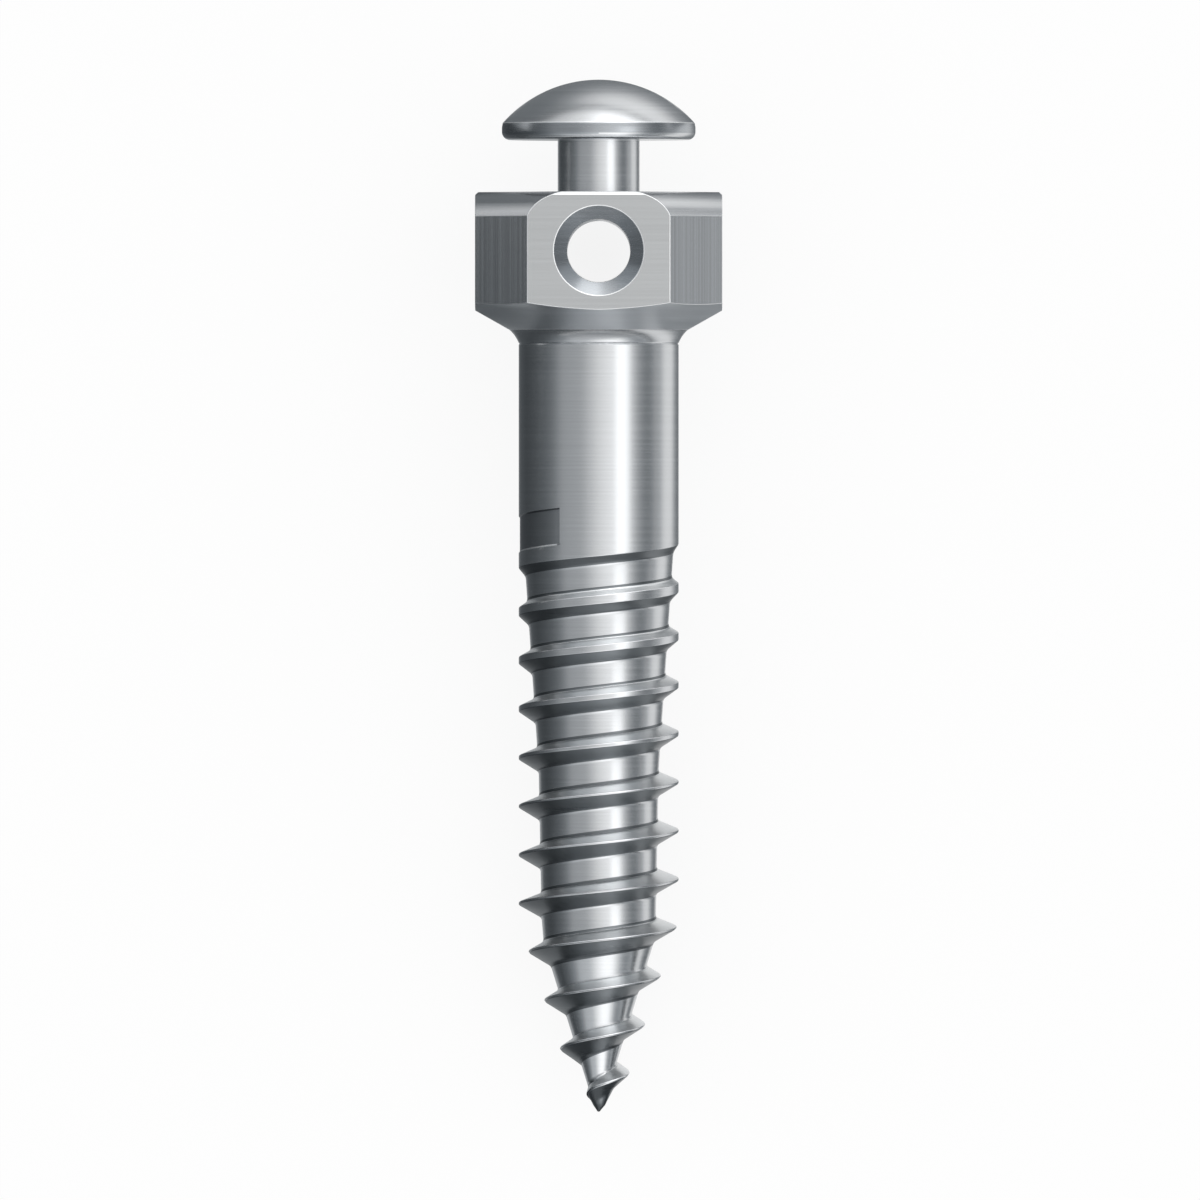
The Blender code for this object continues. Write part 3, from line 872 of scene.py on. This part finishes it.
@dataclass
class MiniScrew:
    """The whole screw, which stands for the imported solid."""

    head: DriverHead
    thread: Thread
    placement: Placement

    def build(self) -> Object:
        """Join the head to the threaded shank and dress the screw.

        Returns:
            The finished piece.
        """
        join_z = self.thread.top_z + self.thread.pitch / 4
        bm = self.head.milled(self.thread.shank_radius, join_z, self.thread.around)
        lower = new_object(self.thread.tube(), "threaded_shank")
        bm.from_mesh(lower.data)
        bpy.data.objects.remove(lower, do_unlink=True)
        rings = ring_at(bm, self.thread.top_z) + ring_at(bm, join_z)
        bmesh.ops.bridge_loops(bm, edges=rings)
        bmesh.ops.recalc_face_normals(bm, faces=bm.faces[:])
        self.choose_finishes(bm)
        piece = self.shaded(bm)
        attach(piece, "root")
        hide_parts("mini_screw")
        return piece

    def shaded(self, bm: BMesh) -> Object:
        """Turn the mesh into the laid-down piece, with shading that follows its large faces.

        That is done in millimetres, because in metres the faces' areas are too small.

        Args:
            bm: The upright screw, which is freed.

        Returns:
            The piece.
        """
        bmesh.ops.transform(bm, matrix=Matrix.Scale(1 / MM, 4), verts=bm.verts[:])
        upright = new_object(bm, "upright_screw")
        upright.data.set_sharp_from_angle(angle=SHARP_SHADE)
        weighted = upright.modifiers.new("even_shading", "WEIGHTED_NORMAL")
        weighted.keep_sharp = True
        graph = bpy.context.evaluated_depsgraph_get()
        mesh = bpy.data.meshes.new_from_object(upright.evaluated_get(graph), depsgraph=graph)
        bpy.data.objects.remove(upright, do_unlink=True)
        mesh.name = "titanium_screw"
        mesh.transform(self.placement.turn @ Matrix.Scale(MM, 4))
        for finish in FINISHES:
            mesh.materials.append(finish.material(self.placement.tilt))
        return add_object("titanium_screw", mesh)

    def choose_finishes(self, bm: BMesh) -> None:
        """Give each face the finish of the surface that it belongs to."""
        for face in bm.faces:
            face.smooth = True
            middle = face.calc_center_median()
            finish_of = self.head_finish if middle.z > 0 else self.thread_finish
            face.material_index = FINISHES.index(finish_of(face, middle))

    def head_finish(self, face: BMFace, middle: Vector) -> TitaniumFinish:
        """The finish of a face above the seat.

        Args:
            face: The face.
            middle: Its centre.

        Returns:
            The finish.
        """
        near = 0.002 * MM
        upright = abs(face.normal.z) < Facing.UPRIGHT
        flat = max(abs(middle.x), abs(middle.y))
        corner = (abs(middle.x) + abs(middle.y)) / math.sqrt(2)
        # Bevels keep their painted highlight.
        if face.material_index == FINISHES.index(EDGES):
            return EDGES
        if middle.z > self.head.top_z:
            rim = middle.xy.length > self.head.button_radius - self.head.rim_bulge / 2
            # The button's rim gets painted shade.
            return PAINTED_SHADE_TOOLED if rim else TURNED
        if upright and abs(flat - self.head.half_width) < near:
            return BRUSHED_ACROSS
        if upright and abs(corner - self.head.half_corner) < near:
            return BRUSHED_ALONG
        if math.hypot(middle.x, middle.z - self.head.hole_z) < self.head.countersink_radius:
            # Countersinks get painted shade.
            return PAINTED_SHADE_TOOLED
        # Faces under the head get the lightened satin colour: painted light.
        return LIGHTENED_SATIN if face.normal.z < Facing.UNDER_HEAD else TURNED

    def thread_finish(self, face: BMFace, middle: Vector) -> TitaniumFinish:
        """The finish of a face of the shank, the pocket, the thread or the point.

        Args:
            face: The face.
            middle: Its centre.

        Returns:
            The finish.
        """
        thread = self.thread
        angle = math.atan2(-middle.x, -middle.y) % math.tau
        foot = thread.crest_height(angle / math.tau) + thread.pocket_lift
        in_turn = thread.pocket_wall < angle < thread.pocket_end
        in_band = foot < middle.z < foot + thread.pocket_height
        sunk = middle.xy.length < thread.shank_radius - NEAR
        slope = face.normal.z
        if in_turn and in_band and sunk:
            side = Vector((-math.cos(angle), math.sin(angle), 0))
            beside = face.normal.dot(side) > Facing.POCKET_SIDE_WALL
            # The pocket's lower edge gets a painted highlight.
            if slope > Facing.POCKET_LOWER_EDGE:
                return EDGES
            # The pocket's upper and side walls and its floor get painted shade.
            return PAINTED_SHADE_CUT if slope < Facing.POCKET_UPPER_WALL or beside else PAINTED_SHADE_POCKET
        # The point is painted dark: painted shade.
        if middle.z < thread.tip_z + thread.point_zone:
            return PAINTED_SHADE_CUT
        if -thread.start + thread.pitch < middle.z:
            return TURNED
        root = middle.xy.length < thread.core_radius(middle.z) + thread.root_round
        root_line = root and Facing.ROOT_LINE[0] < slope < Facing.ROOT_LINE[1]
        # Flanks facing the tip and the lines at the root get painted shade.
        if slope < Facing.TOWARDS_TIP or root_line:
            return PAINTED_SHADE_CUT
        # Flanks facing the head get painted light.
        return PAINTED_LIGHT_FLANKS if slope > Facing.TOWARDS_HEAD else TURNED


class Along(Enum):
    """What the light of a panel varies along."""

    ANGLE = "angle round the screw, in degrees"
    HEIGHT = "height over the floor, in millimetres"
    ACROSS = "distance across the screw, in millimetres"
    RADIAL = "distance on the floor from a point beyond the head, in millimetres"


Stops = tuple[Pair, ...]


@dataclass(frozen=True)
class Glow:
    """The light of a panel: its strength at a few stations, blended between them.

    A colour ramp holds values up to 1, so each of the two ramps holds half of its light.
    """

    name: str
    along: Along
    stops: Stops
    lengthwise: Stops = ((-90, 1.0), (90, 1.0))
    centre: Spot = (0.0, 0.0, 0.0)
    axis_height: float = 1.6 * MM
    ramp_share: float = 0.5
    warm_loss: float = 0.11
    cool_gain: float = 0.09

    def material(self) -> Material:
        """Build the glowing material."""
        material = bpy.data.materials.new(self.name)
        material.use_nodes = True
        tree = material.node_tree
        tree.nodes.clear()
        place = add_node(tree, "ShaderNodeTexCoord")
        spot = place.outputs["Object"]
        parts = add_node(tree, "ShaderNodeSeparateXYZ", inputs={"Vector": spot}).outputs
        unit = MM
        if self.along is Along.ANGLE:
            unit = math.radians(1)
            sides = {0: parts["Z"], 1: self.axis_height}
            rise = add_node(tree, "ShaderNodeMath", {"operation": "SUBTRACT"}, sides)
            sides = {0: parts["X"], 1: rise.outputs["Value"]}
            turn = add_node(tree, "ShaderNodeMath", {"operation": "ARCTAN2"}, sides)
            value = turn.outputs["Value"]
        elif self.along is Along.HEIGHT:
            value = parts["Z"]
        elif self.along is Along.ACROSS:
            value = parts["X"]
        else:
            ends = {0: spot, 1: self.centre}
            reach = add_node(tree, "ShaderNodeVectorMath", {"operation": "DISTANCE"}, ends)
            value = reach.outputs["Value"]
        across = self.ramp(tree, value, unit, self.stops)
        lengthwise = self.ramp(tree, parts["Y"], MM, self.lengthwise)
        shares = {0: lengthwise, 1: 1 / self.ramp_share**2}
        gain = add_node(tree, "ShaderNodeMath", {"operation": "MULTIPLY"}, shares)
        light = {"Color": across, "Strength": gain.outputs["Value"]}
        glow = add_node(tree, "ShaderNodeEmission", inputs=light)
        add_node(tree, "ShaderNodeOutputMaterial", inputs={"Surface": glow.outputs["Emission"]})
        return material

    def ramp(self, tree: NodeTree, value: NodeSocket, unit: float, stops: Stops) -> NodeSocket:
        """Add a ramp of light, bluer where it is dark.

        Args:
            tree: The node tree that gets the ramp.
            value: What the light varies with.
            unit: The unit of the stops' stations.
            stops: The stations and their light.

        Returns:
            The ramp's output.
        """
        first = stops[0][0]
        last = stops[-1][0]
        span = {"Value": value, "From Min": first * unit, "From Max": last * unit}
        share = add_node(tree, "ShaderNodeMapRange", inputs=span)
        ramp = add_node(tree, "ShaderNodeValToRGB", inputs={"Fac": share.outputs["Result"]})
        bands = ramp.color_ramp
        for station, light in stops:
            if station == first:
                element = bands.elements[0]
            elif station == last:
                element = bands.elements[-1]
            else:
                element = bands.elements.new((station - first) / (last - first))
            shade = max(0.0, 1 - light) ** 2
            warm = light * (1 - self.warm_loss * shade)
            cool = light * (1 + self.cool_gain * shade)
            tint = (warm * self.ramp_share, light * self.ramp_share, cool * self.ramp_share)
            element.color = (*tint, 1)
        return ramp.outputs["Color"]


# Round the screw: dark at the left, rising to light over the right shoulder, then grey.
# Along it, brighter far beyond either end, with a dip just beyond the head.
TENT_GLOW = Glow(
    "tent_glow",
    Along.ANGLE,
    (
        (-180, 0.50), (-151, 0.50), (-141, 0.11), (-121, 0.07), (-101, 0.10), (-84, 0.14),
        (-68, 0.23), (-54, 0.43), (-25, 0.47), (-10, 0.73), (0, 0.92), (16, 1.12),
        (38, 1.12), (48, 0.78), (60, 0.38), (72, 0.22), (82, 0.26), (90, 0.47), (98, 0.47),
        (108, 0.95), (122, 0.95), (131, 0.36), (138, 0.20), (145, 0.20), (150, 0.85),
        (180, 0.85),
    ),
    lengthwise=(
        (-90, 1.5), (-34, 1.4), (-14, 1.0), (9, 1.0), (14, 0.85), (24, 0.9), (32, 2.0), (90, 2.0)
    ),
)

# On the floor beyond the head: a light patch at the right in a dark ring, and white far off,
# for the dome of the button
HEAD_FLOOR_GLOW = Glow(
    "head_floor_glow",
    Along.RADIAL,
    (
        (0, 1.1), (3.6, 1.05), (5, 0.75), (6.1, 0.38), (7.2, 0.22), (9, 0.18), (13, 0.55),
        (20, 0.9), (120, 0.9),
    ),
    centre=(4.0 * MM, 12.0 * MM, 0.0),
)

# Beyond the tip, for the flanks that face it: a dark floor, and an end wall that is light
# along the horizon and dark higher up
TIP_FLOOR_GLOW = Glow("tip_floor_glow", Along.ACROSS, ((-60, 0.12), (60, 0.12)))
TIP_END_GLOW = Glow(
    "tip_end_glow", Along.HEIGHT, ((0, 0.9), (10, 0.4), (18, 0.2), (26, 0.45), (60, 0.6))
)

# Beyond the head: an end wall that is brighter at the right, for the flanks that face it
HEAD_END_GLOW = Glow("head_end_glow", Along.ACROSS, ((-60, 0.5), (-12, 1.2), (4, 2.0), (60, 1.6)))


@dataclass
class Studio:
    """The floor, the panels that the metal reflects, the lamp and the camera."""

    placement: Placement
    frame_width: float = 12.0 * MM
    camera_distance: float = 400.0 * MM
    camera_side: float = 0.013 * MM
    camera_height: float = -2.70 * MM
    sensor: float = 36.0
    floor_size: float = 0.6
    floor_colour: str = "f8f8f8"
    floor_roughness: float = 0.9
    floor_glow: float = 0.88
    tent_radius: float = 60.0 * MM
    tent_length: float = 90.0 * MM
    tent_sides: int = 96
    end_sides: int = 64
    flag_end: float = 5.3 * MM
    flag_lift: float = 0.02 * MM
    key_angle: float = math.radians(34)
    key_distance: float = 50.0 * MM
    key_width: float = 18.0 * MM
    key_length: float = 22.0 * MM
    key_middle: float = -1.0 * MM
    key_power: float = 0.0008
    world_strength: float = 0.95

    def build(self) -> None:
        """Build the whole studio."""
        self.camera()
        self.floor()
        self.tent()
        self.floor_panels()
        self.end_panel("tip_end_panel", -1, TIP_END_GLOW)
        self.end_panel("head_end_panel", 1, HEAD_END_GLOW)
        self.key_lamp()
        self.world()

    def camera(self) -> None:
        """A long lens that looks straight at the front of the screw, across its axis."""
        data = bpy.data.cameras.new("camera")
        data.sensor_width = self.sensor
        data.lens = self.sensor * self.camera_distance / self.frame_width
        data.clip_start = 1.0 * MM
        data.clip_end = 2.0
        item = add_object("camera", data)
        place = Vector((self.camera_side, -self.camera_distance, self.camera_height))
        stand = Matrix.Translation(place) @ Matrix.Rotation(math.pi / 2, 4, "X")
        item.matrix_world = self.placement.turn @ stand
        bpy.context.scene.camera = item

    def floor(self) -> None:
        """A plain white board, which keeps a soft shadow."""
        bm = bmesh.new()
        bmesh.ops.create_grid(bm, x_segments=1, y_segments=1, size=self.floor_size / 2)
        board = new_object(bm, "floor")
        material = bpy.data.materials.new("white_board")
        material.use_nodes = True
        tree = material.node_tree
        shader = tree.nodes["Principled BSDF"]
        shader.inputs["Base Color"].default_value = linear(self.floor_colour)
        shader.inputs["Roughness"].default_value = self.floor_roughness
        shader.inputs["Specular IOR Level"].default_value = 0.0
        path = add_node(tree, "ShaderNodeLightPath").outputs
        rays = {0: path["Is Camera Ray"], 1: path["Is Glossy Ray"]}
        seen = add_node(tree, "ShaderNodeMath", {"operation": "ADD"}, rays)
        rays = {0: seen.outputs["Value"], 1: path["Is Transmission Ray"]}
        either = add_node(tree, "ShaderNodeMath", {"operation": "ADD", "use_clamp": True}, rays)
        shares = {0: either.outputs["Value"], 1: self.floor_glow}
        share = add_node(tree, "ShaderNodeMath", {"operation": "MULTIPLY"}, shares)
        glow = add_node(tree, "ShaderNodeEmission", inputs={"Color": (1, 1, 1, 1)})
        surfaces = {
            "Fac": share.outputs["Value"],
            1: shader.outputs["BSDF"],
            2: glow.outputs["Emission"],
        }
        mix = add_node(tree, "ShaderNodeMixShader", inputs=surfaces)
        tree.links.new(mix.outputs["Shader"], tree.nodes["Material Output"].inputs["Surface"])
        board.data.materials.append(material)

    def tent(self) -> None:
        """A half round of soft panels over the screw."""
        ends = [(-self.tent_radius, side * self.tent_length, 0) for side in (-1, 1)]
        bm = swept(ends, (0, 1, 0), self.tent_sides, angle=math.pi)
        self.finish_panel(new_object(bm, "light_tent"), TENT_GLOW)

    def floor_panels(self) -> None:
        """Flags that lie on the floor all round the screw."""
        far = self.tent_radius
        end = self.flag_end
        self.sheet("side_flags", (-far, far), (-end, end), TENT_GLOW)
        self.sheet("head_flag", (-far, far), (end, self.tent_length), HEAD_FLOOR_GLOW)
        self.sheet("tip_flag", (-far, far), (-self.tent_length, -end), TIP_FLOOR_GLOW)

    def sheet(self, name: str, across: Pair, along: Pair, glow: Glow) -> None:
        """Lay a rectangular flag on the floor.

        Args:
            name: The flag's name.
            across: Where it starts and ends in X.
            along: Where it starts and ends in Y.
            glow: Its light.
        """
        bm = bmesh.new()
        bmesh.ops.create_grid(bm, x_segments=1, y_segments=1, size=0.5)
        size = Matrix.Diagonal((across[1] - across[0], along[1] - along[0], 1, 1))
        middle = (sum(across) / 2, sum(along) / 2, self.flag_lift)
        bmesh.ops.transform(bm, matrix=Matrix.Translation(middle) @ size, verts=bm.verts[:])
        self.finish_panel(new_object(bm, name), glow)

    def end_panel(self, name: str, side: int, glow: Glow) -> None:
        """Close one end of the tent.

        Args:
            name: The panel's name.
            side: 1 for the head's end, -1 for the tip's.
            glow: Its light.
        """
        bm = bmesh.new()
        bmesh.ops.create_circle(
            bm, cap_ends=True, segments=self.end_sides, radius=self.tent_radius
        )
        turn = Matrix.Rotation(math.pi / 2, 4, "X")
        move = Matrix.Translation((0, side * self.tent_length, 0))
        bmesh.ops.transform(bm, matrix=move @ turn, verts=bm.verts[:])
        self.finish_panel(new_object(bm, name), glow)

    def finish_panel(self, panel: Object, glow: Glow) -> None:
        """Dress a panel, and keep it out of the view and off the floor."""
        panel.data.materials.append(glow.material())
        panel.visible_camera = False
        panel.visible_diffuse = False
        panel.visible_shadow = False

    def key_lamp(self) -> None:
        """A long softbox over the right side, parallel to the screw."""
        data = bpy.data.lights.new("key", "AREA")
        data.shape = "RECTANGLE"
        data.size = self.key_width
        data.size_y = self.key_length
        data.energy = self.key_power
        item = add_object("key", data)
        item.location = Vector((math.sin(self.key_angle), 0, math.cos(self.key_angle)))
        item.location *= self.key_distance
        item.location.y = self.key_middle
        item.rotation_euler = (0, self.key_angle, 0)
        item.visible_camera = False

    def world(self) -> None:
        """Even pale light from all round."""
        world = bpy.data.worlds.new("pale_room")
        world.use_nodes = True
        background = world.node_tree.nodes["Background"]
        background.inputs["Color"].default_value = (1, 1, 1, 1)
        background.inputs["Strength"].default_value = self.world_strength
        bpy.context.scene.world = world


def main() -> None:
    """Build the screw and its studio."""
    logging.basicConfig(level=logging.INFO, format="%(name)s: %(message)s")
    bpy.context.scene.view_settings.view_transform = "Standard"
    head = DriverHead()
    placement = Placement.from_record(head)
    screw = MiniScrew(head, Thread(), placement).build()
    log.info("%s has %d faces", screw.name, len(screw.data.polygons))
    Studio(placement).build()
    log.info("studio is ready")


if __name__ == "__main__":
    main()
